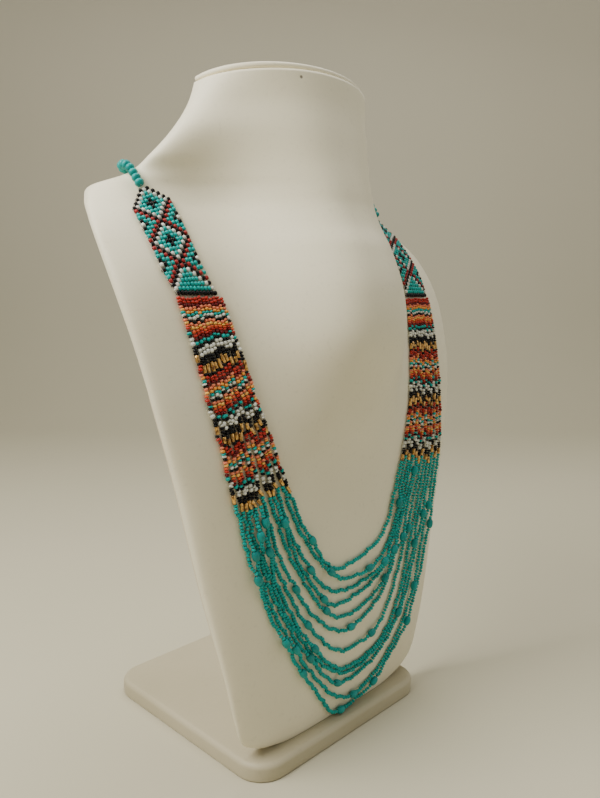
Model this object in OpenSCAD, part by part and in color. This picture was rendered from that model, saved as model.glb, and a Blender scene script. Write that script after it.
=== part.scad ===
// Long beaded necklace on a plain neck bust with a square base.
// Millimetres, +Z up. The origin is on the base plate's underside, below the
// middle of the bust.
// The front of the bust looks towards -Y, and +X is on the right seen from there.

/* [Base] */
// Side of the square base plate
base_side = 142; // [138:1:150]
// Thickness of the base plate; the bust stands on it at 10
base_thick = 10; // [8:0.5:10]
// Corner radius of the base plate
base_corner = 17; // [14:1:24]
// Rounding of the plate's upper edge
base_round = 3; // [1:0.5:4]

/* [Bust] */
// Thickness of the flat panel that closes the back
panel_thick = 2; // [1.5:0.1:2]
// Thickness of the lid on the neck
lid_thick = 2.8; // [2.2:0.1:3.4]
// Step of the neck under the lid
lid_step = 1.6; // [0.8:0.2:3]

/* [Necklace] */
// Outer diameter of a strand of small beads
strand_dia = 2; // [1.6:0.1:2]
// Height of a strand's centre above the bust
strand_rise = 1.4; // [1.35:0.05:1.5]
// Length of an oval bead
oval_len = 6; // [4.5:0.1:6.2]
// Diameter of an oval bead
oval_dia = 4.3; // [3.8:0.1:4.3]
// Bore of an oval bead
oval_bore = 2.4; // [2.3:0.1:2.6]
// Thickness of the woven bands
band_thick = 1.9; // [1.6:0.1:2]
// Diameter of the flattened round beads on the neck string
round_dia = 4.9; // [4.4:0.1:4.9]
// Length of such a bead along the string
round_len = 2.6; // [2.4:0.1:2.6]
// Diameter of the thread through the round beads
thread_dia = 0.8; // [0.6:0.1:1]

/* [Hidden] */

// The bust's front, section by section
// Each row: height, half width, y of the side seam, roundness of the front,
// extra swell of the chest, squareness of the section.
BUST = [
    [10, 50, -62, 3.5, 0.5, 6],
    [13, 62, -62, 4, 0.5, 6],
    [20, 73, -62, 5, 1, 6],
    [34, 78.5, -62.5, 6, 1, 6],
    [60, 85, -63, 7, 1, 6],
    [110, 97, -60, 10.5, 0.5, 6],
    [160, 108.2, -58.4, 12.8, 1, 6],
    [200, 117.6, -55.8, 8.9, 19.7, 7],
    [230, 122.6, -48.7, 8.4, 38.5, 8],
    [255, 125.5, -38.5, 9.8, 46.5, 8],
    [278, 125.5, -24.3, 13, 49, 3],
    [290, 122.1, -11.9, 17.7, 49.5, 2.7],
    [300, 116.4, 1.2, 25.2, 50.5, 2.5],
    [308, 107.8, 9.9, 34.7, 47.3, 2.3],
    [315, 91.7, 0.6, 29.1, 41.4, 2.2],
    [324, 84.9, -9.7, 21.9, 35.5, 2.1],
    [336, 75.6, -15, 22.8, 26, 2],
    [350, 65.5, -14.5, 29, 16.5, 2],
    [366, 58, -13, 45, 0, 2]
];
HALF_W = 1;
SEAM_Y = 2;
ROUNDNESS = 3;
SWELL = 4;
SQUARENESS = 5;
last = len(BUST) - 1;

// Index of the row below height z
function row_at(z, i = 0) = (i >= last - 1 || z < BUST[i + 1][0]) ? i : row_at(z, i + 1);
// Slope of column c at row i
function slope(c, i) =
    let (lo = max(i - 1, 0), hi = min(i + 1, last))
    (BUST[hi][c] - BUST[lo][c]) / (BUST[hi][0] - BUST[lo][0]);
// Column c at height z, a smooth curve through the rows
function at(c, z, i) =
    let (h = BUST[i + 1][0] - BUST[i][0], t = (z - BUST[i][0]) / h, t2 = t * t, t3 = t2 * t)
    BUST[i][c] * (2 * t3 - 3 * t2 + 1) + h * slope(c, i) * (t3 - 2 * t2 + t)
    + BUST[i + 1][c] * (3 * t2 - 2 * t3) + h * slope(c, i + 1) * (t3 - t2);
function col(c, z) = at(c, z, row_at(z));

// y of the front at x and height z
function front(x, z) =
    let (i = row_at(z), w = at(HALF_W, z, i), u = min(1, abs(x) / w))
    at(SEAM_Y, z, i)
    - at(ROUNDNESS, z, i) * sqrt(max(0, 1 - pow(u, at(SQUARENESS, z, i))))
    - at(SWELL, z, i) * exp(-pow(abs(x) / 46, 3));

function unit(v) = v / norm(v);
// Outward direction of the front at x, z
function normal(x, z) = unit([front(x + 0.5, z) - front(x - 0.5, z), -1,
    front(x, z + 0.5) - front(x, z - 0.5)]);
// Point at height rise above the front
function on(x, z, rise) = [x, front(x, z), z] + rise * normal(x, z);

// The neck's top is cut on a slope, higher at the front
function ease(t) = let (s = min(1, max(0, t))) s * s * (3 - 2 * s);
function tilt(p, z) = [p[0], p[1], z - 0.14 * ease((z - 320) / 46) * (p[1] - col(SEAM_Y, z))];

neck_top = 362.4;
// Heights of the sections, closer where the form turns
LEVELS = concat([10.1, 11.2, 13, 16, 20, 27, 36, 50, 65, 82, 100, 120, 140],
    [for (z = [153 : 9 : 189]) z], [for (z = [197 : 8 : 285]) z], [for (z = [290 : 3 : 323]) z],
    [327, 332, 337, 343, 349, 355, 359, neck_top]);
sides = 15; // columns from the middle to each side

// Faces of a closed tube of n rings of m points, with both ends closed
function tube_faces(n, m) = concat(
    [for (i = [0 : n - 2], j = [0 : m - 1], k = [0, 1])
        let (a = i * m + j, b = i * m + (j + 1) % m, c = a + m, d = b + m)
        k == 0 ? [a, d, b] : [a, c, d]],
    [[for (j = [0 : m - 1]) j]],
    [[for (j = [m - 1 : -1 : 0]) (n - 1) * m + j]]);

module rings(list) {
    n = len(list);
    m = len(list[0]);
    polyhedron([for (r = list, p = r) p], tube_faces(n, m), convexity = 8);
}

// Rings round a line of points; reference directions keep the rings from twisting
function way(p, i) = unit(p[min(i + 1, len(p) - 1)] - p[max(i - 1, 0)]);
function ring(c, t, ref, r, m) =
    let (n = unit(ref - (ref * t) * t), b = cross(t, n))
    [for (j = [0 : m - 1]) c + r * (cos(360 * j / m) * n + sin(360 * j / m) * b)];

// Base and bust

module corner_profile() {
    square([base_corner - base_round, base_thick]);
    square([base_corner, base_thick - base_round]);
    translate([base_corner - base_round, base_thick - base_round]) intersection() {
        circle(r = base_round, $fn = 48);
        square(base_round * 2);
    }
}

// The plate reaches further to the front and to the left than to the back
plate_middle = [-2.3, -4.6, 0];

module base_plate() {
    color("gainsboro") translate(plate_middle) {
        flat = base_side - 2 * base_corner;
        for (a = [0 : 90 : 270]) rotate([0, 0, a]) {
            translate([flat / 2, flat / 2, 0]) rotate_extrude($fn = 64) corner_profile();
            translate([flat / 2, flat / 2, 0]) rotate([90, 0, 0])
                linear_extrude(flat) corner_profile();
        }
        translate([-flat / 2, -flat / 2, 0]) cube([flat, flat, base_thick]);
    }
}

rear_cut = 2; // the rear corners are cut off by this much
// One section: the front from left to right, then straight back behind it
function section(z) =
    let (w = col(HALF_W, z), rear = col(SEAM_Y, z) + rear_cut)
    concat([for (j = [-sides : sides])
        let (t = j / sides, x = w * (0.75 * t + 0.25 * sin(90 * t)),
            y = abs(j) == sides ? col(SEAM_Y, z) : front(x, z))
        tilt([x, y, z], z)],
        [tilt([w - rear_cut, rear, z], z), tilt([rear_cut - w, rear, z], z)]);

module bust_form() {
    color("ivory") rings([for (z = LEVELS) section(z)]);
}

// A flat strip 0.1 behind the bust, a little narrower than the bust and more so
// at the shoulders
function panel_section(z) =
    let (w = col(HALF_W, z) - 1.7 - 2.8 * ease((z - 200) / 40), y = col(SEAM_Y, z) + rear_cut + 0.1)
    [for (p = [[-w, y], [w, y], [w, y + panel_thick], [-w, y + panel_thick]])
        tilt([p[0], p[1], z], z)];

module back_panel() {
    color("tan") rings([for (z = LEVELS) panel_section(z)]);
}

// Half an ellipse with a shallow flat back
module half_oval(w, d) {
    polygon(concat([for (a = [0 : 4 : 180]) [w * cos(a), -d * sin(a)]],
        [[rear_cut - w, rear_cut], [w - rear_cut, rear_cut]]));
}

module neck_lid() {
    color("whitesmoke") translate([0, -12.7, neck_top + 0.1]) rotate([-8, 0, 0]) {
        linear_extrude(1.3) half_oval(58 - lid_step, 44 - lid_step);
        translate([0, 0, 1.2]) linear_extrude(lid_thick) half_oval(58, 44);
    }
}

// Woven bands
// Rows from the pointed end down: height, x of the left band's middle,
// x of the right band's middle, half width, slope of the row towards the neck.
BAND = [
    [305.2, -91.4, 93.6, 3.2, 0.24],
    [302.4, -91.4, 93.5, 6.2, 0.24],
    [299.4, -91.4, 93.3, 9.2, 0.24],
    [296.6, -91.5, 93.1, 11.6, 0.24],
    [290.5, -91.7, 92.6, 11.7, 0.22],
    [283, -91.9, 92.3, 11.7, 0.2],
    [275, -92, 92, 11.6, 0.18],
    [267, -91.9, 91.6, 11.6, 0.16],
    [259.5, -90, 90.4, 11.8, 0.1],
    [252.4, -87.4, 89.2, 12.3, 0]
];
band_rise = 0.4;
band_end = len(BAND) - 1;

// Middle of the band at row i, on the front
function band_mid(side, i) = on(BAND[i][side], BAND[i][0], 0);
// Points across the band at row i, at height rise above the front; the last
// row is level, where the strands hang from it
function band_row(side, i, rise) =
    let (t = band_mid(side, max(i - 1, 0)) - band_mid(side, min(i + 1, band_end)),
        c = band_mid(side, i), a = unit(cross(t, normal(c[0], c[2]))),
        lift = i == band_end ? 0 : a[2] + (side == 1 ? 1 : -1) * BAND[i][4])
    [for (j = [-3 : 3]) on(c[0] + BAND[i][3] * j / 3 * a[0], c[2] + BAND[i][3] * j / 3 * lift, rise)];
function back_to_front(v) = [for (i = [len(v) - 1 : -1 : 0]) v[i]];

module band(side) {
    rings([for (i = [0 : band_end]) concat(band_row(side, i, band_rise + band_thick),
        back_to_front(band_row(side, i, band_rise)))]);
}
module band_left() { color("firebrick") band(1); }
module band_right() { color("firebrick") band(2); }

// Strands
// Each row is one strand, from the shortest: height of its lowest point, x of
// that point, sideways lean of the left leg and of the right leg, pinch of the
// left leg and of the right leg.
STRANDS = [
    [101.9, -7.8, 5.6, 3.3, 1.8, -7.7],
    [93.5, 1.1, 3.6, 1.3, 1.5, -7.8],
    [87.3, -3.7, 2.6, 3.7, 1.3, -7.2],
    [80.7, -7.6, 5.1, 4.9, 2, -6.4],
    [72, -4, 5.6, 1.8, 2.3, -5.4],
    [64.1, -3.2, 2.7, -0.2, 2.5, -3.9],
    [50.6, 1.5, 2.8, -1, 2.1, -4.2],
    [38.8, 3.4, 4, 1.5, 2, -4.4],
    [35.9, 2.8, 3.9, 4, 2.4, -3.3],
    [30.3, 0.4, 6.4, 5.5, 3, -2],
    [19.1, 5.3, 7, 5, 3.2, -0.3],
    [11.1, -0.5, 11.4, 7.8, 4.1, 2.4]
];
// Each row is one oval bead: strand, place along it from -1 at the left end to
// 1 at the right end, extra height there.
OVALS = [
    [0, -0.243, 1.8], [1, -0.137, 2.2], [1, 0.053, 1], [1, 0.316, 1.4], [2, -0.214, 1],
    [2, 0.129, 2.2], [3, -0.421, 1.8], [3, -0.114, 1], [3, 0.208, 2.6], [4, -0.121, 1],
    [4, 0.15, 1], [4, 0.488, 1.6], [5, -0.278, 1], [5, 0.011, 1], [5, 0.314, 2.4], [6, -0.517, 1.8],
    [6, -0.216, 1], [6, 0.065, 1], [6, 0.376, 1], [7, -0.477, 2.8], [7, -0.192, 2.2],
    [8, -0.524, 2.8], [8, 0.183, 1.4], [8, 0.367, 1], [9, -0.205, 1.6], [9, -0.056, 1],
    [9, 0.456, 1], [10, -0.52, 2], [10, -0.286, 2.4], [10, 0.002, 1], [10, 0.298, 1],
    [10, 0.497, 1], [11, -0.485, 2], [11, -0.334, 2.2], [11, -0.243, 1], [11, -0.016, 1],
    [11, 0.096, 1], [11, 0.234, 1], [11, 0.463, 1]
];
strand_top = 252;   // height at which the strands leave the bands
first_half = 76.2;  // half span of the shortest strand there
pitch = 2.2;        // from one strand to the next
middle = 1.4;       // x of the middle between the bands
half_gap = 3.25;    // from an oval bead's middle to the rings beside it
bead_low = 13;      // least height of an oval bead's middle

function cosh(x) = (exp(x) + exp(-x)) / 2;
function sinh(x) = (exp(x) - exp(-x)) / 2;
function asinh(x) = ln(x + sqrt(x * x + 1));
// Shape number q of a hanging curve with drop / half span = (cosh q - 1) / q
function sag(ratio, lo = 0.01, hi = 8, n = 40) =
    let (q = (lo + hi) / 2)
    n == 0 ? q : ((cosh(q) - 1) / q > ratio ? sag(ratio, lo, q, n - 1) : sag(ratio, q, hi, n - 1));

// Point of strand k at s from -1 (left end) to 1 (right end), flat in the
// elevation; the lowest strand rests near the base plate, never below low
function hang(k, q, s, low = 11.5) =
    let (v = STRANDS[k], half = first_half + pitch * k, t = asinh(abs(s) * sinh(q)) / q,
        side = s < 0 ? -1 : 1, lean = s < 0 ? v[2] : v[3], pinch = s < 0 ? v[4] : v[5],
        h = sin(180 * t), g = cos(90 * t))
    [middle + side * (half * t - pinch * sin(360 * t)) + lean * h * h + (v[1] - middle) * g * g,
        max(low, v[0] + half / q * (cosh(q * t) - 1))];

function count(k) = 46 + 2 * k;
function above(k, q, s, rise) = let (p = hang(k, q, s)) on(p[0], p[1], rise);
// Share of the strand that spans the half gap at s
function reach(k, q, s) = half_gap * 0.01
    / norm(above(k, q, s + 0.005, strand_rise) - above(k, q, s - 0.005, strand_rise));
// Ring before the place s
function before(k, s) = floor((s + 1) / 2 * (count(k) - 1));
// Oval beads of strand k: ring before the bead, place, extra height, reach
function marks(k, q) = [for (o = OVALS) if (o[0] == k)
    [before(k, o[1]), o[1], o[2], reach(k, q, o[1])]];
// Ring centres of strand k, each with the bust's outward direction; the two rings
// beside an oval bead move to its ends
function route(k) =
    let (q = sag((strand_top - STRANDS[k][0]) / (first_half + pitch * k)), n = count(k),
        beads = marks(k, q))
    [for (i = [0 : n - 1])
        let (m = [for (b = beads) if (b[0] == i || b[0] + 1 == i) b],
            s = len(m) == 0 ? 2 * i / (n - 1) - 1 : m[0][1] + (m[0][0] == i ? -1 : 1) * m[0][3],
            p = hang(k, q, s, len(m) == 0 ? 11.5 : bead_low))
        [on(p[0], p[1], strand_rise + (len(m) == 0 ? 0 : m[0][2])), normal(p[0], p[1])]];

module strand(k) {
    r = route(k);
    c = [for (p = r) p[0]];
    color(k % 2 == 0 ? "teal" : "darkturquoise")
        rings([for (i = [0 : len(c) - 1]) ring(c[i], way(c, i), r[i][1], strand_dia / 2, 8)]);
}
module strand_01() { strand(0); }
module strand_02() { strand(1); }
module strand_03() { strand(2); }
module strand_04() { strand(3); }
module strand_05() { strand(4); }
module strand_06() { strand(5); }
module strand_07() { strand(6); }
module strand_08() { strand(7); }
module strand_09() { strand(8); }
module strand_10() { strand(9); }
module strand_11() { strand(10); }
module strand_12() { strand(11); }

// Turns the Z axis along the vector v and moves to p
module along(p, v) {
    translate(p) rotate([0, acos(v[2] / norm(v)), atan2(v[1], v[0])]) children();
}

// A bead of round section with a straight bore; its curve stops at the angle end
module bead(long, dia, bore, end) {
    rim = bore / 2 + 0.25;
    rotate_extrude($fn = 48) polygon(concat(
        [[bore / 2, long / 2], [bore / 2, -long / 2]],
        [for (a = [-end : 15 : end])
            [rim + (dia / 2 - rim) * cos(a), long / 2 * sin(a) / sin(end)]]));
}

module oval_beads() {
    color("mediumturquoise") for (k = [0 : 11]) {
        r = route(k);
        for (o = OVALS) if (o[0] == k) {
            a = r[before(k, o[1])][0];
            b = r[before(k, o[1]) + 1][0];
            along((a + b) / 2, b - a) bead(oval_len, oval_dia, oval_bore, 90);
        }
    }
}

// Neck string
// From the left band's point over the shoulder, straight across behind the
// panel and over the other shoulder to the right band's point.
NECK = [
    [-93.2, -13.2, 307.2],
    [-93.8, -10.5, 310.6],
    [-94.3, -8, 314.1],
    [-94.8, -5.1, 317.2],
    [-95, -1.5, 318.8],
    [-94.3, 2.4, 318.7],
    [-91.9, 5.3, 317.8],
    [-88.2, 6.7, 317.1],
    [-83.9, 7.2, 317],
    [-79.5, 7.2, 317.1],
    [-59.1, 6.5, 318.1],
    [-22.8, 5.4, 319.8],
    [17.2, 5.2, 320.3],
    [53.5, 5.9, 319.1],
    [73.9, 6.3, 318.2],
    [78.3, 6.3, 318.2],
    [82.5, 5.8, 318.6],
    [86.3, 4.3, 319.3],
    [89.2, 1.4, 320],
    [91.2, -2.2, 319.6],
    [92.4, -5.7, 317.8],
    [93.4, -8.4, 314.7],
    [94.4, -10.3, 311.1],
    [95.4, -12.1, 307.3]
];
// Smooth curve through the points
function spline(p, i, t) =
    let (n = len(p) - 1, a = p[max(i - 1, 0)], b = p[i], c = p[i + 1], d = p[min(i + 2, n)],
        l0 = norm(c - b) / max(norm(b - a), norm(c - b)), l1 = norm(c - b) / max(norm(d - c), norm(c - b)),
        m0 = (c - a) / 2 * l0, m1 = (d - b) / 2 * l1, t2 = t * t, t3 = t2 * t)
    b * (2 * t3 - 3 * t2 + 1) + m0 * (t3 - 2 * t2 + t) + c * (3 * t2 - 2 * t3) + m1 * (t3 - t2);
neck_line = concat([for (i = [0 : len(NECK) - 2], t = [0 : 0.25 : 0.75])
    spline(NECK, i, t)], [NECK[len(NECK) - 1]]);
// Running length at each point of the line
run = [for (i = 0, s = 0; i < len(neck_line);
    s = s + (i + 1 < len(neck_line) ? norm(neck_line[i + 1] - neck_line[i]) : 0), i = i + 1) s];
neck_total = run[len(run) - 1];
function neck_at(s) = [for (c = [0 : 2])
    lookup(s, [for (i = [0 : len(run) - 1]) [run[i], neck_line[i][c]]])];
bend_gap = 0.7; // between two beads, for the bends of the string
round_count = floor((neck_total - 0.4) / (round_len + bend_gap));
round_step = (neck_total - 0.2) / round_count;

module neck_thread() {
    c = [for (i = [0 : round_count]) neck_at(0.1 + round_step * i)];
    color("black") rings([for (i = [0 : len(c) - 1])
        ring(c[i], way(c, i), [0, -0.3, 1], thread_dia / 2, 8)]);
}

module neck_beads() {
    color("lightseagreen") for (i = [0 : round_count - 1]) {
        a = neck_at(0.1 + round_step * i);
        b = neck_at(0.1 + round_step * (i + 1));
        along((a + b) / 2, b - a) bead(round_len, round_dia, thread_dia + 0.5, 90);
    }
}

base_plate();
bust_form();
back_panel();
neck_lid();
neck_thread();
neck_beads();
band_left();
band_right();
strand_01();
strand_02();
strand_03();
strand_04();
strand_05();
strand_06();
strand_07();
strand_08();
strand_09();
strand_10();
strand_11();
strand_12();
oval_beads();
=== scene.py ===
import math

import bpy
import numpy as np
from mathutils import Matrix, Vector


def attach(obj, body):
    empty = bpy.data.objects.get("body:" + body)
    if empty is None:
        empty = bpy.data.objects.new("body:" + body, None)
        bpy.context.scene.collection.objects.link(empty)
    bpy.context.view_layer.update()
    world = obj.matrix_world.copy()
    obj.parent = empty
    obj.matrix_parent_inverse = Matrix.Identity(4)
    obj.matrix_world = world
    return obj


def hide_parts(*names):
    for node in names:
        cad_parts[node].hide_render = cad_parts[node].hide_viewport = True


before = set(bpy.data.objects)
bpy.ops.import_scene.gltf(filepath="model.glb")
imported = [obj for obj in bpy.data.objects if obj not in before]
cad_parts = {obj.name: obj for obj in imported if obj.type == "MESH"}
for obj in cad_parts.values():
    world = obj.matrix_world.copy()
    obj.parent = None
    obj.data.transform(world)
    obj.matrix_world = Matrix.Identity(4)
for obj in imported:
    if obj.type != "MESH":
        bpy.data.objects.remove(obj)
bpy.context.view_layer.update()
mm = 0.001
dice = np.random.default_rng(41)

# the photograph's viewing angle, fitted to points marked on the bust and base
cameraSet = {
    "place": (-0.2946, -0.3229, 0.2498),
    "lookDown": 7.84,       # degrees below the horizon
    "turn": -45.36,         # degrees round the upright axis
    "focalPixels": 705.4,
    "imageTall": 798,
    "film": 36,             # the sensor's height and width in millimetres
    "farEnd": 30,
}
cameraData = bpy.data.cameras.new("photoCamera")
cameraData.sensor_width = cameraSet["film"]
cameraData.lens = cameraSet["focalPixels"] / cameraSet["imageTall"] * cameraSet["film"]
cameraData.clip_end = cameraSet["farEnd"]
camera = bpy.data.objects.new("photoCamera", cameraData)
camera.location = cameraSet["place"]
camera.rotation_euler = (math.radians(90 - cameraSet["lookDown"]), 0, math.radians(cameraSet["turn"]))
bpy.context.scene.collection.objects.link(camera)
bpy.context.scene.camera = camera


# colour from screen values 0 to 255 to the shader's own scale
def paint(red, green, blue):
    screen = np.array([red, green, blue]) / 255
    straight = np.where(screen <= 0.04045, screen / 12.92, ((screen + 0.055) / 1.055) ** 2.4)
    return (*[float(part) for part in straight], 1.0)


# materials: a value on a socket, with sums and products as Math nodes
class Level:
    def __init__(self, tree, socket):
        self.tree = tree
        self.socket = socket

    def maths(self, operation, first, second):
        made = self.tree.nodes.new("ShaderNodeMath")
        made.operation = operation
        for number, value in enumerate((first, second)):
            if isinstance(value, Level):
                self.tree.links.new(value.socket, made.inputs[number])
            else:
                made.inputs[number].default_value = value
        return Level(self.tree, made.outputs[0])

    def __add__(self, other):
        return self.maths("ADD", self, other)

    def __radd__(self, other):
        return self.maths("ADD", other, self)

    def __sub__(self, other):
        return self.maths("SUBTRACT", self, other)

    def __rsub__(self, other):
        return self.maths("SUBTRACT", other, self)

    def __mul__(self, other):
        return self.maths("MULTIPLY", self, other)

    def __rmul__(self, other):
        return self.maths("MULTIPLY", other, self)


class Finish:
    def __init__(self, name, fixed):
        self.material = bpy.data.materials.new(name)
        self.material.use_nodes = True
        self.tree = self.material.node_tree
        self.shader = self.tree.nodes["Principled BSDF"]
        for socketName, value in fixed.items():
            self.shader.inputs[socketName].default_value = value

    # one node: its type, its settings, then the values or links of its sockets
    def node(self, kind, settings, sockets, out=0):
        made = self.tree.nodes.new(kind)
        for key, value in settings.items():
            setattr(made, key, value)
        for key, value in sockets.items():
            if isinstance(value, Level):
                self.tree.links.new(value.socket, made.inputs[key])
            else:
                made.inputs[key].default_value = value
        return Level(self.tree, made.outputs[out])

    def place(self):
        return self.node("ShaderNodeTexCoord", {}, {}, "Object")

    def noise(self, where, scale, detail=3.0):
        return self.node("ShaderNodeTexNoise", {}, {"Vector": where, "Scale": scale, "Detail": detail})

    def blend(self, mask, first, second):
        return self.node("ShaderNodeMix", {"data_type": "RGBA"},
                         {0: mask, 6: first, 7: second}, 2)

    def remap(self, value, low, high, toLow=0.0, toHigh=1.0):
        return self.node("ShaderNodeMapRange", {"interpolation_type": "SMOOTHSTEP"},
                         {"Value": value, "From Min": low, "From Max": high,
                          "To Min": toLow, "To Max": toHigh})

    def bump(self, height, depth, strength=1.0):
        return self.node("ShaderNodeBump", {},
                         {"Height": height, "Distance": depth, "Strength": strength})

    def feed(self, sockets):
        for socketName, value in sockets.items():
            self.tree.links.new(value.socket, self.shader.inputs[socketName])


# leatherette: soft cloudy tone, fine pebbled grain with stretched creases
def leatherFinish(name, light, shade, pinHole=None):
    skin = Finish(name, {"Specular IOR Level": 0.35, "Sheen Weight": 0.08})
    where = skin.place()
    cloud = skin.noise(where, 11, 3)
    fleck = skin.noise(where, 420, 2)
    pebble = skin.node("ShaderNodeTexVoronoi", {"feature": "SMOOTH_F1"},
                       {"Vector": where, "Scale": 1150, "Smoothness": 0.7})
    flat = skin.node("ShaderNodeMapping", {}, {"Vector": where, "Scale": (1, 1, 3.2)})
    crease = skin.noise(flat, 190, 4)
    colour = skin.blend(skin.remap(cloud, 0.3, 0.7), light, shade)
    colour = skin.blend(skin.remap(fleck, 0.55, 0.8, 0, 0.08), colour, paint(120, 108, 84))
    height = pebble * 0.55 + crease * 0.45
    roughness = 0.5 + cloud * 0.1 - pebble * 0.06
    if pinHole:
        reach = skin.node("ShaderNodeVectorMath", {"operation": "DISTANCE"},
                          {0: where, 1: pinHole}, "Value")
        hole = 1 - skin.remap(reach, 0.0005, 0.0011)
        dent = 1 - skin.remap(reach, 0.0008, 0.0045)
        # painted shade: the inside of the pin hole is darkened as if shade fell in it
        colour = skin.blend(hole * 0.8, colour, paint(70, 60, 48))
        height = height - dent * 1.5 - hole * 3
    skin.feed({"Base Color": colour, "Roughness": roughness, "Normal": skin.bump(height, 0.0001, 0.4)})
    return skin.material


# opaque glass: each bead's own tint, faint swirls, glossy with dull patches
def glassFinish(name, polish, coat):
    glass = Finish(name, {"Specular IOR Level": 0.2, "Coat Roughness": 0.12})
    where = glass.place()
    tint = glass.node("ShaderNodeAttribute", {"attribute_name": "tint"}, {}, "Color")
    swirl = glass.noise(where, 900, 3)
    dull = glass.noise(where, 420, 2)
    colour = glass.blend(glass.remap(swirl, 0.35, 0.75, 0, 0.22), tint, (0.02, 0.02, 0.025, 1))
    glass.feed({
        "Base Color": colour,
        "Roughness": polish + dull * 0.22,
        "Coat Weight": coat - dull * coat,
        "Normal": glass.bump(swirl, 0.00004, 0.5),
    })
    return glass.material


# gilt lining seen through a clear tube: streaks along, darker in places
def giltFinish(name):
    gilt = Finish(name, {"Coat Weight": 0.8, "Coat Roughness": 0.06})
    where = gilt.place()
    streak = gilt.noise(where, 700, 4)
    wear = gilt.noise(where, 240, 2)
    colour = gilt.blend(gilt.remap(streak, 0.35, 0.7), paint(244, 190, 100), paint(112, 68, 20))
    gilt.feed({
        "Base Color": colour,
        "Metallic": gilt.remap(wear, 0.3, 0.6, 0.55, 0.95),
        "Roughness": 0.2 + wear * 0.2,
        "Normal": gilt.bump(streak, 0.00003, 0.6),
    })
    return gilt.material


# dyed stone: waxy turquoise with cloudy patches and a few darker veins
def stoneFinish(name, light, deep):
    stone = Finish(name, {"Specular IOR Level": 0.25, "Coat Weight": 0.08, "Coat Roughness": 0.25})
    where = stone.place()
    cloud = stone.noise(where, 150, 4)
    vein = stone.node("ShaderNodeTexVoronoi", {"feature": "DISTANCE_TO_EDGE"},
                      {"Vector": where, "Scale": 210})
    pit = stone.noise(where, 1300, 2)
    colour = stone.blend(stone.remap(cloud, 0.35, 0.68), light, deep)
    veined = (1 - stone.remap(vein, 0.01, 0.07)) * stone.remap(cloud, 0.48, 0.6)
    colour = stone.blend(veined * 0.35, colour, paint(18, 92, 92))
    stone.feed({
        "Base Color": colour,
        "Roughness": 0.36 + pit * 0.2,
        "Normal": stone.bump(pit + vein, 0.00004, 0.5),
    })
    return stone.material


# twisted thread: fine slanting ply along the cord, the grooves between plies darkened as painted shade
def threadFinish(name, light, plyShade):
    cord = Finish(name, {"Sheen Weight": 0.3})
    where = cord.place()
    ply = cord.node("ShaderNodeTexWave", {"bands_direction": "DIAGONAL"},
                    {"Vector": where, "Scale": 900, "Distortion": 2})
    cord.feed({
        # painted shade: the darker colour fills the grooves between the plies
        "Base Color": cord.blend(ply, light, plyShade),
        "Roughness": 0.6 + ply * 0.2,
        "Normal": cord.bump(ply, 0.00005),
    })
    return cord.material


# a mesh object from points in millimetres and lists of faces
def makePiece(name, points, faces, materials, replaced, finishOf=None, tint=None):
    mesh = bpy.data.meshes.new(name)
    corners = [face for group in faces for face in group.tolist()]
    mesh.from_pydata((np.asarray(points) * mm).tolist(), [], corners)
    mesh.polygons.foreach_set("use_smooth", np.ones(len(mesh.polygons), bool))
    for material in materials:
        mesh.materials.append(material)
    if finishOf is not None:
        mesh.polygons.foreach_set("material_index", finishOf.astype(np.int32))
    if tint is not None:
        layer = mesh.color_attributes.new("tint", "FLOAT_COLOR", "POINT")
        layer.data.foreach_set("color", tint.astype(np.float32).ravel())
    mesh.validate()
    mesh.update()
    piece = bpy.data.objects.new(name, mesh)
    bpy.context.scene.collection.objects.link(piece)
    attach(piece, "root")
    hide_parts(*replaced)
    return piece


# faces between the rings of a closed tube, ring after ring
def ringFaces(rings, around, closed=False):
    ring, step = np.meshgrid(np.arange(rings if closed else rings - 1), np.arange(around), indexing="ij")
    after = (ring + 1) % rings
    beside = (step + 1) % around
    return np.stack([ring * around + step, ring * around + beside,
                     after * around + beside, after * around + step], -1).reshape(-1, 4)


# volume enclosed by quads, positive where they face outwards
def volumeOf(points, quads):
    a, b, c, d = (points[quads[:, corner]] for corner in range(4))
    return (np.einsum("ij,ij->i", a, np.cross(b, c)) + np.einsum("ij,ij->i", a, np.cross(c, d))).sum()


def outward(points, quads):
    return quads if volumeOf(points, quads) > 0 else quads[:, ::-1]


# points and faces of a tube of rings with flat ends
def cappedRings(grid):
    rings, around = grid.shape[:2]
    points = grid.reshape(-1, 3)
    sides = ringFaces(rings, around)
    flip = 1 if volumeOf(points - points.mean(0), sides) > 0 else -1
    cap = np.arange(around)[None, :]
    return points, [sides[:, ::flip], cap[:, ::-flip], (cap + (rings - 1) * around)[:, ::flip]]


def unit(vectors):
    return vectors / np.linalg.norm(vectors, axis=-1, keepdims=True)


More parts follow.
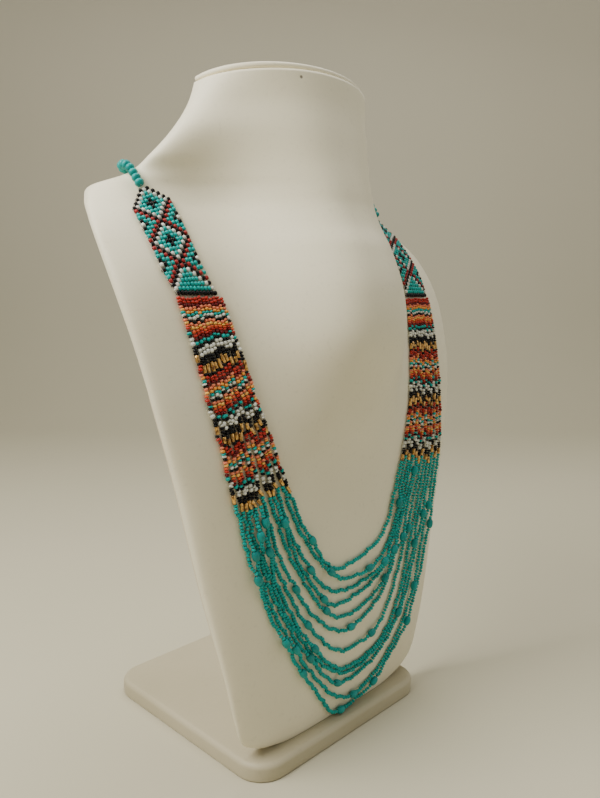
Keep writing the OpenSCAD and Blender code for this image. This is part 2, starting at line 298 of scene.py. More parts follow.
# the bust's front, section by section; the rows were fitted by least squares to
# outlines and edges marked in the photograph, then rounded
bust = {
    "rows": np.array([  # height, half width, seam y, roundness, swell, squareness
        [10, 50, -62, 3.5, 0.5, 6], [13, 62, -62, 4, 0.5, 6], [20, 73, -62, 5, 1, 6],
        [34, 78.5, -62.5, 6, 1, 6], [60, 85, -63, 7, 1, 6], [110, 97, -60, 10.5, 0.5, 6],
        [160, 108.2, -58.4, 12.8, 1, 6], [200, 117.6, -55.8, 8.9, 19.7, 7],
        [230, 122.6, -48.7, 8.4, 38.5, 8], [255, 125.5, -38.5, 9.8, 46.5, 8],
        [278, 125.5, -24.3, 13, 49, 3], [290, 122.1, -11.9, 17.7, 49.5, 2.7],
        [300, 116.4, 1.2, 25.2, 50.5, 2.5], [308, 107.8, 9.9, 34.7, 47.3, 2.3],
        [315, 91.7, 0.6, 29.1, 41.4, 2.2], [324, 84.9, -9.7, 21.9, 35.5, 2.1],
        [336, 75.6, -15, 22.8, 26, 2], [350, 65.5, -14.5, 29, 16.5, 2],
        [366, 58, -13, 45, 0, 2],
    ], float),
    "top": 362.4,
    "levels": 190,
    "columns": 64,          # from the middle to each side
    "rearCut": 2.0,         # cut-off rear corners
    "swellWide": 46,        # reach of the swell to each side of the middle
    "leanFrom": 320, "leanOver": 46, "lean": 0.14,
    "pinHole": (-0.0226, -0.0553, 0.3643),      # in metres
    "light": paint(236, 229, 204),
    "shade": paint(229, 221, 194),
}


# one column of the table at any height, a smooth cubic through its rows
def column(number, height):
    rows = bust["rows"]
    levels, values = rows[:, 0], rows[:, number]
    slopes = np.gradient(values)
    slopes[1:-1] = (values[2:] - values[:-2]) / (levels[2:] - levels[:-2])
    slopes[0] = (values[1] - values[0]) / (levels[1] - levels[0])
    slopes[-1] = (values[-1] - values[-2]) / (levels[-1] - levels[-2])
    height = np.asarray(height, float)
    row = np.clip(np.searchsorted(levels, height, side="right") - 1, 0, len(levels) - 2)
    span = levels[row + 1] - levels[row]
    t = (height - levels[row]) / span
    return (values[row] * (2 * t**3 - 3 * t**2 + 1) + span * slopes[row] * (t**3 - 2 * t**2 + t)
            + values[row + 1] * (3 * t**2 - 2 * t**3) + span * slopes[row + 1] * (t**3 - t**2))


# y of the front: the seam, less a rounded section, less a bell-shaped swell
def frontY(x, z):
    u = np.minimum(1, np.abs(x) / column(1, z))
    return (column(2, z) - column(3, z) * np.sqrt(np.maximum(0, 1 - u ** column(5, z)))
            - column(4, z) * np.exp(-(np.abs(x) / bust["swellWide"]) ** 3))


def frontNormal(x, z):
    across = frontY(x + 0.5, z) - frontY(x - 0.5, z)
    upward = frontY(x, z + 0.5) - frontY(x, z - 0.5)
    return unit(np.stack([across, -np.ones_like(across), upward], -1))


# a point at a height above the front, along its outward direction
def onBust(x, z, rise):
    rise = np.asarray(rise, float)[..., None]
    return np.stack([x, frontY(x, z), z], -1) + rise * frontNormal(x, z)


def ease(share):
    t = np.clip(share, 0, 1)
    return t * t * (3 - 2 * t)


# the neck's top slopes: points lean up towards the front
def lean(points):
    leaned = points.copy()
    leaned[..., 2] -= (bust["lean"] * ease((points[..., 2] - bust["leanFrom"]) / bust["leanOver"])
                       * (points[..., 1] - column(2, points[..., 2])))
    return leaned


# heights, closer together at the rounded bottom and round the shoulders
def bustLevels(count):
    even = np.linspace(0, 1, count)
    return np.interp(even, [0, 0.12, 0.45, 0.85, 1], [10.1, 24, 230, 330, bust["top"]])


def makeBust(finish):
    height = bustLevels(bust["levels"])[:, None]
    t = np.linspace(-1, 1, 2 * bust["columns"] + 1)[None, :]
    x = column(1, height) * (0.72 * t + 0.28 * np.sin(np.pi / 2 * t))
    z = np.broadcast_to(height, x.shape)
    front = lean(np.stack([x, frontY(x, z), z], -1))
    backX = x * (1 - bust["rearCut"] / column(1, height))
    back = np.stack([backX, np.broadcast_to(column(2, height) + bust["rearCut"], x.shape), z], -1)[:, ::-1]
    grid = np.concatenate([front, lean(back)], 1)
    rings, around = grid.shape[:2]
    points = grid.reshape(-1, 3)
    sides = ringFaces(rings, around)
    # the two ends: quads from the front row to the straight back row
    inner = np.arange(2 * bust["columns"])
    ladder = np.stack([inner, inner + 1, around - 2 - inner, around - 1 - inner], -1)
    last = (rings - 1) * around
    flip = 1 if volumeOf(points, sides) > 0 else -1
    groups = [sides[:, ::flip], ladder[:, ::-flip], (ladder + last)[:, ::flip]]
    return makePiece("bustSkin", points, groups, [finish], ["bust_form"])


panel = {
    "thick": 2.0, "levels": 120, "edgeRound": 0.8, "sharpFrom": 50,
    "inset": 1.7, "insetMore": 2.8, "insetFrom": 200, "insetOver": 40,
    # a guessed cream-brown, darker than the bust's skin, partly painted shade for the board's shaded edge
    "light": paint(212, 202, 174), "shade": paint(202, 192, 164),
}


# flat board behind the seam, its rear edges rounded
def makePanel(finish):
    height = bustLevels(panel["levels"])[:, None]
    inset = panel["inset"] + panel["insetMore"] * ease((height - panel["insetFrom"]) / panel["insetOver"])
    halfWide = column(1, height) - inset
    seam = column(2, height) + bust["rearCut"] + 0.1
    turn = np.radians(np.linspace(0, 90, 6))[None, :]
    radius = panel["edgeRound"]
    rightX = halfWide - radius + radius * np.cos(turn)
    rightY = seam + panel["thick"] - radius + radius * np.sin(turn)
    x = np.concatenate([-halfWide, halfWide, rightX, -rightX[:, ::-1]], 1)
    y = np.concatenate([seam, seam, rightY, rightY[:, ::-1]], 1)
    points, groups = cappedRings(lean(np.stack([x, y, np.broadcast_to(height, x.shape)], -1)))
    piece = makePiece("backPanel", points, groups, [finish], ["back_panel"])
    piece.data.set_sharp_from_angle(angle=math.radians(panel["sharpFrom"]))


# a slab of any outline: rings stepped in from the edge give the rounded rims
def slabRings(outline, thick, lowRound, topRound, core):
    low = np.radians(np.linspace(0, 90, 6))
    top = np.radians(np.linspace(0, 90, 8))
    inset = np.concatenate([[core, core * 0.5], lowRound * (1 - np.sin(low)),
                            topRound * (1 - np.cos(top)), [core * 0.5, core]])
    height = np.concatenate([[0, 0], lowRound * (1 - np.cos(low)),
                             thick - topRound + topRound * np.sin(top), [thick, thick]])
    rows = [outline(step) for step in inset]
    return np.stack([np.column_stack([row, np.full(len(row), up)]) for row, up in zip(rows, height)])


base = {"side": 142, "thick": 10, "corner": 17, "rim": 3.0, "footRim": 1.2, "core": 12,
        "middle": (-2.3, -4.6, 0),
        # the base is the bust's cream leatherette, its colours painted darker as painted shade
        "light": paint(184, 175, 148), "shade": paint(176, 167, 139)}


# square with quarter-circle corners, stepped in by a distance
def baseOutline(step):
    turn = np.radians(np.linspace(0, 90, 16))
    middle = base["side"] / 2 - base["corner"]
    radius = base["corner"] - step
    quarter = np.column_stack([middle + radius * np.cos(turn), middle + radius * np.sin(turn)])
    spins = [np.array([[c, s], [-s, c]]) for c, s in ((1, 0), (0, 1), (-1, 0), (0, -1))]
    return np.concatenate([quarter @ spin for spin in spins])


lid = {"halfWide": 58.0, "deep": 44.0, "thick": 2.8, "rim": 1.4, "plugStep": 1.6,
       "plugThick": 1.3, "y": -12.7, "slope": -8.0, "core": 12, "lowRim": 1.2,
       "plugFoot": 0.2, "plugRim": 0.1}


# half an oval with a shallow straight back, stepped in by a distance
def lidOutline(step):
    turn = np.radians(np.linspace(0, 180, 64))
    front = np.column_stack([(lid["halfWide"] - step) * np.cos(turn),
                             -step - (lid["deep"] - 2 * step) * np.sin(turn)])
    cut = bust["rearCut"]
    backX = np.linspace(-1, 1, 24) * (lid["halfWide"] - cut - step)
    return np.concatenate([front, np.column_stack([backX, np.full(len(backX), cut - step)])])


def makeLid(finish):
    upper = slabRings(lidOutline, lid["thick"], lid["lowRim"], lid["rim"], lid["core"])
    upper[..., 2] += lid["plugThick"] - 0.1
    plug = slabRings(lambda step: lidOutline(step + lid["plugStep"]),
                     lid["plugThick"], lid["plugFoot"], lid["plugRim"], lid["core"])
    tilt = math.radians(lid["slope"])
    spin = np.array([[1, 0, 0], [0, math.cos(tilt), -math.sin(tilt)], [0, math.sin(tilt), math.cos(tilt)]])
    points, faces, shift = [], [], 0
    for grid in (upper, plug):
        some, groups = cappedRings(grid)
        points.append(some @ spin.T + [0, lid["y"], bust["top"] + 0.1])
        faces += [group + shift for group in groups]
        shift += len(some)
    return makePiece("neckLid", np.concatenate(points), faces, [finish], ["neck_lid"])


# bead shapes: rings of radius and place along the bore, both as shares
seedShape = np.array([[0.36, 0], [0.42, -0.96], [0.8, -0.7], [1.04, 0], [0.8, 0.7], [0.42, 0.96]])
tubeShape = np.array([[0.5, 0], [0.55, -0.99], [0.9, -1], [1, -0.93], [1, 0.93], [0.9, 1], [0.55, 0.99]])


# a rounded bead with a bore, many rings
def roundShape(bore, rings):
    turn = np.linspace(-90, 90, rings)
    reach = np.cos(np.radians(turn))
    along = np.sin(np.radians(turn))
    outer = np.column_stack([bore + (1 - bore) * reach, along])
    return np.concatenate([[[bore, 0]], outer])


# every bead of a group: its shape carried to its centre, turned to its bore
def beadField(centres, axes, ups, radii, halves, shape, sides):
    turn = 2 * np.pi * np.arange(sides) / sides
    side = unit(np.cross(axes, ups))
    over = np.cross(side, axes)
    circle = (np.cos(turn)[None, :, None] * side[:, None, :]
              + np.sin(turn)[None, :, None] * over[:, None, :])
    ringReach = radii[:, None] * shape[None, :, 0]
    ringAlong = halves[:, None] * shape[None, :, 1]
    points = (centres[:, None, None, :] + ringReach[:, :, None, None] * circle[:, None, :, :]
              + ringAlong[:, :, None, None] * axes[:, None, None, :])
    perBead = len(shape) * sides
    quads = ringFaces(len(shape), sides, closed=True)
    quads = outward(points[0].reshape(-1, 3) - centres[0], quads)
    shifts = perBead * np.arange(len(centres))
    return points.reshape(-1, 3), (quads[None] + shifts[:, None, None]).reshape(-1, 4), perBead


# a round tube along a path, its two ends closed
def tubeField(path, ups, radius, sides):
    way = unit(np.gradient(path, axis=0))
    side = unit(np.cross(way, ups))
    over = np.cross(side, way)
    turn = 2 * np.pi * np.arange(sides) / sides
    return cappedRings(path[:, None, :] + radius * (np.cos(turn)[None, :, None] * side[:, None, :]
                       + np.sin(turn)[None, :, None] * over[:, None, :]))


# one mesh from several fields: points, faces, finish number and tint of each
def joinFields(fields):
    points, faces, finishOf, tints, shift = [], [], [], [], 0
    for field in fields:
        points.append(field["points"])
        for group in field["faces"]:
            faces.append(group + shift)
            finishOf.append(np.full(len(group), field["finish"]))
        tints.append(np.broadcast_to(field["tint"], (len(field["points"]), 4)))
        shift += len(field["points"])
    return np.concatenate(points), faces, np.concatenate(finishOf), np.concatenate(tints)


beadColours = {
    "turquoise": paint(0, 172, 166),
    "red": paint(184, 50, 40),
    "bandRed": paint(164, 48, 48),
    "darkRed": paint(104, 18, 24),
    "salmon": paint(240, 134, 100),
    "amber": paint(246, 166, 74),
    "yellow": paint(246, 190, 96),
    "redOrange": paint(226, 96, 56),
    "white": paint(226, 226, 216),
    "black": paint(5, 5, 8),
    "gold": paint(200, 150, 60),
}
tintSpread = 0.1
threadTint = (0.8, 0.8, 0.8, 1)


# each bead's colour with a little difference in brightness
def tintBeads(names, perBead):
    colours = np.array([beadColours[name] for name in names])
    shade = 1 + tintSpread * dice.uniform(-1, 1, (len(names), 1))
    colours[:, :3] = np.clip(colours[:, :3] * shade, 0, 1)
    return np.repeat(colours, perBead, 0)


glass = glassFinish("seedGlass", 0.2, 0.05)
gilt = giltFinish("gildedTube")
stone = stoneFinish("dyedStone", paint(0, 152, 148), paint(0, 128, 126))
# the second colour is painted shade in the thread's grooves
threadWhite = threadFinish("beadingThread", paint(222, 216, 200), paint(160, 152, 136))

print("materials ready")

# the stand
bustLeather = leatherFinish("bustLeatherette", bust["light"], bust["shade"], bust["pinHole"])
makeBust(bustLeather)
makePanel(leatherFinish("panelLeatherette", panel["light"], panel["shade"]))
baseLeather = leatherFinish("baseLeatherette", base["light"], base["shade"])
baseRings = slabRings(baseOutline, base["thick"], base["footRim"], base["rim"], base["core"])
slabPoints, slabFaces = cappedRings(baseRings)
makePiece("basePlate", slabPoints + base["middle"], slabFaces, [baseLeather], ["base_plate"])
makeLid(leatherFinish("lidLeatherette", bust["light"], bust["shade"]))
print("stand made")

# woven bands: beads sit in rows, their bores across the band
band = {
    "rows": np.array([  # height, left middle x, right middle x, half width, slope of the row
        [305.2, -91.4, 93.6, 3.2, 0.24], [302.4, -91.4, 93.5, 6.2, 0.24],
        [299.4, -91.4, 93.3, 9.2, 0.24], [296.6, -91.5, 93.1, 11.6, 0.24],
        [290.5, -91.7, 92.6, 11.7, 0.22], [283, -91.9, 92.3, 11.7, 0.2],
        [275, -92, 92, 11.6, 0.18], [267, -91.9, 91.6, 11.6, 0.16],
        [259.5, -90, 90.4, 11.8, 0.1], [252.4, -87.4, 89.2, 12.3, 0],
    ]),
    "fullWide": 11.6,
    "beadRows": 27,         # the chart's rows 1 to 27
    "beadColumns": 11,
    "rise": 1.35,
    "warpRadius": 0.14,
}


# the colour of the bead at row r, column c, from the diamond chart
def chartColour(r, c):
    c = abs(c)
    for middle in (5, 15):
        d = abs(r - middle)
        if d <= 4 or (d == 5 and r in (10, 20) and c > 0):
            if c == 4 - d:
                return "white"
            if c < 4 - d:
                return "black" if d + c <= 1 else "turquoise"
            if c == 5 - d:
                return "black"
            if c == 6 - d:
                return "bandRed"
    if r in (9, 10, 11, 19, 20, 21):
        if r in (10, 20):
            return {0: "black", 1: "bandRed", 4: "black", 5: "white"}.get(c, "turquoise")
        if c == 5:
            return "black"
        if c == 0:
            return "bandRed"
    if r == 27:
        return "black"
    if r >= 21:
        if c == r - 21:
            return "white"
        if c < r - 21:
            return "turquoise"
        if c == r - 20:
            return "black"
        if c == r - 19:
            return "bandRed"
    return "turquoise"


# middle line of a band, and its direction across, at shares 0 to 1 along it
def bandCourse(side, shares):
    rows = band["rows"]
    fine = np.linspace(0, len(rows) - 1, 400)
    number = np.arange(len(rows))
    height = np.interp(fine, number, rows[:, 0])
    middleX = np.interp(fine, number, rows[:, side])
    middle = onBust(middleX, height, 0)
    run = np.concatenate([[0], np.cumsum(np.linalg.norm(np.diff(middle, axis=0), axis=1))])
    at = np.interp(shares * run[-1], run, fine)
    height = np.interp(at, number, rows[:, 0])
    middleX = np.interp(at, number, rows[:, side])
    wide = np.interp(at, number, rows[:, 3])
    middle = onBust(middleX, height, 0)
    way = unit(-np.gradient(middle, axis=0))
    across = unit(np.cross(way, frontNormal(middleX, height)))
    level = ease((at - (len(rows) - 4)) / 3)
    slant = np.interp(at, number, rows[:, 4]) * (1 if side == 1 else -1)
    lift = (across[:, 2] + slant) * (1 - level)
    return middleX, height, wide, across[:, 0], lift, run[-1]


def bandPoint(course, place, rise):
    middleX, height, wide, acrossX, lift, _ = course
    return onBust(middleX + place * acrossX, height + place * lift, rise)


def makeBand(name, side, node):
    rowShare = (np.arange(band["beadRows"]) + 0.5) / band["beadRows"]
    middleX, height, wide, acrossX, lift, total = bandCourse(side, rowShare)
    rowPitch = total / band["beadRows"]
    r, c = np.meshgrid(np.arange(band["beadRows"]), np.arange(-5, 6), indexing="ij")
    keep = (np.abs(c) <= r + 1) | (r > 3)
    r, c = r[keep], c[keep]
    fullWide = np.maximum(wide, band["fullWide"])
    pitch = 2 * fullWide[r] / band["beadColumns"]
    place = c * pitch + dice.uniform(-0.09, 0.09, len(r))
    x = middleX[r] + place * acrossX[r]
    z = height[r] + place * lift[r] + dice.uniform(-0.1, 0.1, len(r))
    centres = onBust(x, z, band["rise"] + dice.uniform(-0.06, 0.06, len(r)))
    ahead = onBust(x + 0.5 * acrossX[r], z + 0.5 * lift[r], band["rise"])
    behind = onBust(x - 0.5 * acrossX[r], z - 0.5 * lift[r], band["rise"])
    axes = unit(unit(ahead - behind) + dice.normal(0, 0.05, (len(r), 3)))
    radii = 0.5 * rowPitch * dice.uniform(0.97, 1.04, len(r))
    halves = 0.5 * pitch * dice.uniform(0.93, 1.0, len(r))
    points, quads, perBead = beadField(centres, axes, frontNormal(x, z), radii, halves, seedShape, 8)
    names = [chartColour(row + 1, col) for row, col in zip(r.tolist(), c.tolist())]
    fields = [{"points": points, "faces": [quads], "finish": 0, "tint": tintBeads(names, perBead)}]
    # warp threads between the columns of beads
    for line in range(band["beadColumns"] + 1):
        edge = line - band["beadColumns"] / 2
        startRow = max(0, int(abs(edge) - 1.5))
        shares = np.linspace((startRow + 0.1) / band["beadRows"], 1, 60)
        lane = bandCourse(side, shares)
        lanePlace = edge * 2 * np.maximum(lane[2], band["fullWide"]) / band["beadColumns"]
        sway = 0.35 * np.sin(np.pi * shares * band["beadRows"] + np.pi * (line % 2))
        path = bandPoint(lane, lanePlace, band["rise"] + sway)
        tubePoints, tubeFaces = tubeField(path, frontNormal(path[:, 0], path[:, 2]), band["warpRadius"], 5)
        fields.append({"points": tubePoints, "faces": tubeFaces, "finish": 1, "tint": threadTint})
    points, faces, finishOf, tint = joinFields(fields)
    return makePiece(name, points, faces, [glass, threadWhite], [node], finishOf, tint)


makeBand("wovenBandLeft", 1, "band_left")
makeBand("wovenBandRight", 2, "band_right")
print("bands woven")

# strands; the rows were fitted by least squares to points traced along
# each strand in the photograph, then rounded
strand = {
    "rows": np.array([  # lowest height, x there, lean left, lean right, pinch left, pinch right
        [101.9, -7.8, 5.6, 3.3, 1.8, -7.7], [93.5, 1.1, 3.6, 1.3, 1.5, -7.8],
        [87.3, -3.7, 2.6, 3.7, 1.3, -7.2], [80.7, -7.6, 5.1, 4.9, 2, -6.4],
        [72, -4, 5.6, 1.8, 2.3, -5.4], [64.1, -3.2, 2.7, -0.2, 2.5, -3.9],
        [50.6, 1.5, 2.8, -1, 2.1, -4.2], [38.8, 3.4, 4, 1.5, 2, -4.4],
        [35.9, 2.8, 3.9, 4, 2.4, -3.3], [30.3, 0.4, 6.4, 5.5, 3, -2],
        [19.1, 5.3, 7, 5, 3.2, -0.3], [11.1, -0.5, 11.4, 7.8, 4.1, 2.4],
    ]),
    "top": 252, "firstHalf": 76.2, "pitch": 2.2, "middle": 1.4,
    "rise": 1.4,
    "floor": 11.5, "beadFloor": 13.0,
    "seedRadius": 1.17,
    "seedStep": 1.8,
    "wobble": 0.55,
    "threadRadius": 0.16,
    "waves": (6.3, 9.7, 17.3, 41.0),        # lengths of the small waves along a strand
    "firstRings": 46,       # each longer strand has two more
}
strandNumbers = range(len(strand["rows"]))
ovalBead = {
    "places": [  # strand, place along it from -1 to 1, extra height there
        (0, -0.243, 1.8), (1, -0.137, 2.2), (1, 0.053, 1), (1, 0.316, 1.4), (2, -0.214, 1),
        (2, 0.129, 2.2), (3, -0.421, 1.8), (3, -0.114, 1), (3, 0.208, 2.6), (4, -0.121, 1),
        (4, 0.15, 1), (4, 0.488, 1.6), (5, -0.278, 1), (5, 0.011, 1), (5, 0.314, 2.4),
        (6, -0.517, 1.8), (6, -0.216, 1), (6, 0.065, 1), (6, 0.376, 1), (7, -0.477, 2.8),
        (7, -0.192, 2.2), (8, -0.524, 2.8), (8, 0.183, 1.4), (8, 0.367, 1), (9, -0.205, 1.6),
        (9, -0.056, 1), (9, 0.456, 1), (10, -0.52, 2), (10, -0.286, 2.4), (10, 0.002, 1),
        (10, 0.298, 1), (10, 0.497, 1), (11, -0.485, 2), (11, -0.334, 2.2), (11, -0.243, 1),
        (11, -0.016, 1), (11, 0.096, 1), (11, 0.234, 1), (11, 0.463, 1),
    ],
    "long": 6.0, "wide": 4.3, "halfGap": 3.25,
}
# one repeat of the coloured part: bead and its length along the strand
repeat = [
    ("red", 1.45), ("red", 1.45), ("darkRed", 1.45), ("salmon", 1.45), ("amber", 1.5),
    ("turquoise", 1.45), ("white", 1.5), ("black", 1.2), ("salmon", 1.45), ("yellow", 1.45),
    ("redOrange", 1.45), ("red", 1.45), ("darkRed", 1.35), ("turquoise", 1.7), ("black", 1.2),
    ("white", 1.9), ("white", 1.9), ("black", 1.35), ("black", 1.35), ("black", 1.35),
    ("gold", 4.0), ("black", 1.3),
]
repeatLong = sum(length for _, length in repeat)
goldPlace = repeatLong - repeat[-1][1] - repeat[-2][1] / 2
# how far down each strand its three gilt tubes sit; on the right only the rows'
# common heights were seen, and the differences between strands are chosen
giltLeft = [
    (36.1, 69.2, 103.7), (30.0, 65.0, 98.6), (32.6, 66.8, 98.5), (33.0, 68.7, 102.1),
    (31.0, 65.8, 102.0), (31.4, 65.8, 99.8), (33.7, 70.3, 104.3), (34.4, 69.5, 104.4),
    (35.1, 70.0, 104.6), (35.6, 71.7, 105.5), (36.1, 70.5, 104.7), (30.9, 65.5, 100.1),
]
giltRight = [
    (33.5, 69.5, 104.0), (32.0, 67.5, 101.0), (34.0, 69.0, 103.5), (31.5, 66.0, 100.5),
    (33.0, 68.5, 102.5), (34.5, 70.5, 106.0), (32.5, 67.0, 101.5), (33.5, 69.0, 104.5),
    (35.0, 71.0, 107.0), (32.0, 66.5, 100.0), (34.0, 70.0, 104.0), (33.0, 68.0, 102.0),
]


# shape number q of a hanging curve from its drop over its half span, by halving
def sagNumber(ratio):
    low, high = 0.01, 8.0
    for _ in range(40):
        q = (low + high) / 2
        low, high = (low, q) if (math.cosh(q) - 1) / q > ratio else (q, high)
    return (low + high) / 2


# elevation of strand k at s from -1 to 1: a hanging curve, leaned and pinched
def strandFlat(k, s, lowest=None):
    low, lowX, leanLeft, leanRight, pinchLeft, pinchRight = strand["rows"][k]
    half = strand["firstHalf"] + strand["pitch"] * k
    q = sagNumber((strand["top"] - low) / half)
    t = np.arcsinh(np.abs(s) * math.sinh(q)) / q
    leaning = np.where(s < 0, leanLeft, leanRight)
    pinch = np.where(s < 0, pinchLeft, pinchRight)
    x = (strand["middle"] + np.sign(s) * (half * t - pinch * np.sin(2 * np.pi * t))
         + leaning * np.sin(np.pi * t) ** 2 + (lowX - strand["middle"]) * np.cos(np.pi * t / 2) ** 2)
    floor = strand["floor"] if lowest is None else lowest
    return x, np.maximum(floor, low + half / q * (np.cosh(q * t) - 1))


# the rings that carry the strand: place, height above the bust, lowest height;
# the two rings beside an oval bead sit at its ends and higher
def strandRings(k):
    count = strand["firstRings"] + 2 * k
    s = np.linspace(-1, 1, count)
    rise = np.full(count, strand["rise"])
    lowest = np.full(count, strand["floor"])
    firsts = []
    for owner, place, extra in ovalBead["places"]:
        if owner == k:
            nearX, nearZ = strandFlat(k, np.array([place - 0.005, place + 0.005]))
            near = onBust(nearX, nearZ, np.full(2, strand["rise"]))
            reach = ovalBead["halfGap"] * 0.01 / np.linalg.norm(near[1] - near[0])
            ring = math.floor((place + 1) / 2 * (count - 1))
            s[ring:ring + 2] = place - reach, place + reach
            rise[ring:ring + 2] += extra
            lowest[ring:ring + 2] = strand["beadFloor"]
            firsts.append(ring)
    return s, rise, lowest, np.array(firsts)


# the strand's line in space with small waves, its running length and outward ways
def strandCourse(k):
    s = np.linspace(-1, 1, 1400)
    ringS, ringRise, ringLow, _ = strandRings(k)
    x, z = strandFlat(k, s, np.interp(s, ringS, ringLow))
    path = onBust(x, z, np.interp(s, ringS, ringRise))
    run = np.concatenate([[0], np.cumsum(np.linalg.norm(np.diff(path, axis=0), axis=1))])
    outwards = frontNormal(x, z)
    sideways = np.cross(unit(np.gradient(path, axis=0)), outwards)
    phases = dice.uniform(0, 2 * np.pi, len(strand["waves"]))
    wave = sum(np.sin(2 * np.pi * run / length + phase)
               for length, phase in zip(strand["waves"], phases)) / 2
    fade = np.clip(np.minimum(run, run[-1] - run) / 60, 0.25, 1)
    return path + (strand["wobble"] * wave * fade)[:, None] * sideways, run, outwards


# bead centres and lengths of a coloured end, measured from the end of the strand
def colouredEnd(gilts):
    names = [name for name, _ in repeat] * 3
    edges = np.concatenate([[0], np.cumsum([length for _, length in repeat] * 3)])
    keep = len(names) - 1           # the last black bead isn't strung
    marks = [0, goldPlace, goldPlace + repeatLong, goldPlace + 2 * repeatLong, 3 * repeatLong]
    spots = [dice.uniform(0, 1), *gilts, gilts[2] + 3.3]
    loose = np.concatenate([[0], np.cumsum(np.diff(edges) * dice.uniform(0.72, 1.3, len(edges) - 1))])
    along = np.interp(loose, np.interp(marks, edges, loose), spots)
    return names[:keep], (along[:-1] + along[1:])[:keep] / 2, np.diff(along)[:keep]


def ovalCentres(k):
    ringS, ringRise, ringLow, firsts = strandRings(k)
    x, z = strandFlat(k, ringS, ringLow)
    rings = onBust(x, z, ringRise)
    first, second = rings[firsts], rings[firsts + 1]
    return (first + second) / 2, unit(second - first)


def makeStrand(k):
    path, run, outwards = strandCourse(k)
    total = run[-1]
    leftNames, leftPlace, leftLong = colouredEnd(giltLeft[k])
    rightNames, rightPlace, rightLong = colouredEnd(giltRight[k])
    start = leftPlace[-1] + leftLong[-1] / 2
    stop = total - rightPlace[-1] - rightLong[-1] / 2
    ovals, _ = ovalCentres(k)
    ovalRun = np.sort([run[np.argmin(np.linalg.norm(path - centre, axis=1))] for centre in ovals])
    fences = [start]
    for middle in ovalRun:
        fences += [middle - ovalBead["long"] / 2, middle + ovalBead["long"] / 2]
    fences.append(stop)
    names, place, long = list(leftNames), [leftPlace], [leftLong]
    for low, high in zip(fences[::2], fences[1::2]):
        count = max(1, round((high - low) / strand["seedStep"]))
        widths = dice.uniform(0.82, 1.18, count)
        widths *= (high - low) / widths.sum()
        edges = low + np.concatenate([[0], np.cumsum(widths)])
        place.append((edges[:-1] + edges[1:]) / 2)
        long.append(widths)
        names += ["turquoise"] * count
    place.append(total - rightPlace[::-1])
    long.append(rightLong[::-1])
    names += rightNames[::-1]
    place, long = np.concatenate(place), np.concatenate(long)
    centres = np.column_stack([np.interp(place, run, path[:, axis]) for axis in range(3)])
    ways = np.gradient(path, axis=0)
    axes = unit(np.column_stack([np.interp(place, run, ways[:, axis]) for axis in range(3)]))
    ups = unit(np.column_stack([np.interp(place, run, outwards[:, axis]) for axis in range(3)]))
    isGold = np.array([name == "gold" for name in names])
    tilt = np.where(isGold, 0.02, 0.18)[:, None]
    axes = unit(axes + tilt * dice.normal(0, 1, axes.shape))
    nudge = 0.13 * dice.normal(0, 1, (len(place), 1)) * np.cross(axes, ups)
    centres = centres + nudge * ~isGold[:, None]
    radii = strand["seedRadius"] * np.where(isGold, 0.9, dice.uniform(0.92, 1.05, len(place)))
    halves = long / 2 * np.where(isGold, 0.97, dice.uniform(0.87, 0.97, len(place)))
    seed = ~isGold
    seedPoints, seedQuads, perSeed = beadField(
        centres[seed], axes[seed], ups[seed], radii[seed], halves[seed], seedShape, 8)
    tubePoints, tubeQuads, _ = beadField(
        centres[isGold], axes[isGold], ups[isGold], radii[isGold], halves[isGold], tubeShape, 6)
    cordPoints, cordFaces = tubeField(path[::4], outwards[::4], strand["threadRadius"], 5)
    seedNames = [name for name in names if name != "gold"]
    points, faces, finishOf, tint = joinFields([
        {"points": seedPoints, "faces": [seedQuads], "finish": 0, "tint": tintBeads(seedNames, perSeed)},
        {"points": tubePoints, "faces": [tubeQuads], "finish": 1, "tint": beadColours["gold"]},
        {"points": cordPoints, "faces": cordFaces, "finish": 2, "tint": threadTint},
    ])
    return makePiece(f"seedStrand{k + 1:02d}", points, faces, [glass, gilt, threadWhite],
                     [f"strand_{k + 1:02d}"], finishOf, tint)


for number in strandNumbers:
    makeStrand(number)
print("strands strung")

ovalAt, ovalWay = [np.concatenate(part) for part in zip(*[ovalCentres(k) for k in strandNumbers])]
ovalUps = frontNormal(ovalAt[:, 0], ovalAt[:, 2])
ovalPoints, ovalQuads, _ = beadField(
    ovalAt, ovalWay, ovalUps,
    ovalBead["wide"] / 2 * dice.uniform(0.96, 1.0, len(ovalAt)),
    ovalBead["long"] / 2 * dice.uniform(0.95, 1.0, len(ovalAt)),
    roundShape(0.3, 15), 24)
makePiece("ovalStones", ovalPoints, [ovalQuads], [stone], ["oval_beads"])

# neck string; its points were listed and then smoothed by a program
neck = {
    "points": np.array([
        [-93.2, -13.2, 307.2], [-93.8, -10.5, 310.6], [-94.3, -8, 314.1], [-94.8, -5.1, 317.2],
        [-95, -1.5, 318.8], [-94.3, 2.4, 318.7], [-91.9, 5.3, 317.8], [-88.2, 6.7, 317.1],
        [-83.9, 7.2, 317], [-79.5, 7.2, 317.1], [-59.1, 6.5, 318.1], [-22.8, 5.4, 319.8],
        [17.2, 5.2, 320.3], [53.5, 5.9, 319.1], [73.9, 6.3, 318.2], [78.3, 6.3, 318.2],
        [82.5, 5.8, 318.6], [86.3, 4.3, 319.3], [89.2, 1.4, 320], [91.2, -2.2, 319.6],
        [92.4, -5.7, 317.8], [93.4, -8.4, 314.7], [94.4, -10.3, 311.1], [95.4, -12.1, 307.3],
    ]),
    "beadWide": 4.9, "beadLong": 2.6, "gap": 0.7,
    "shownLong": 3.6,       # the stones touch one another
    "thread": 0.8,
}


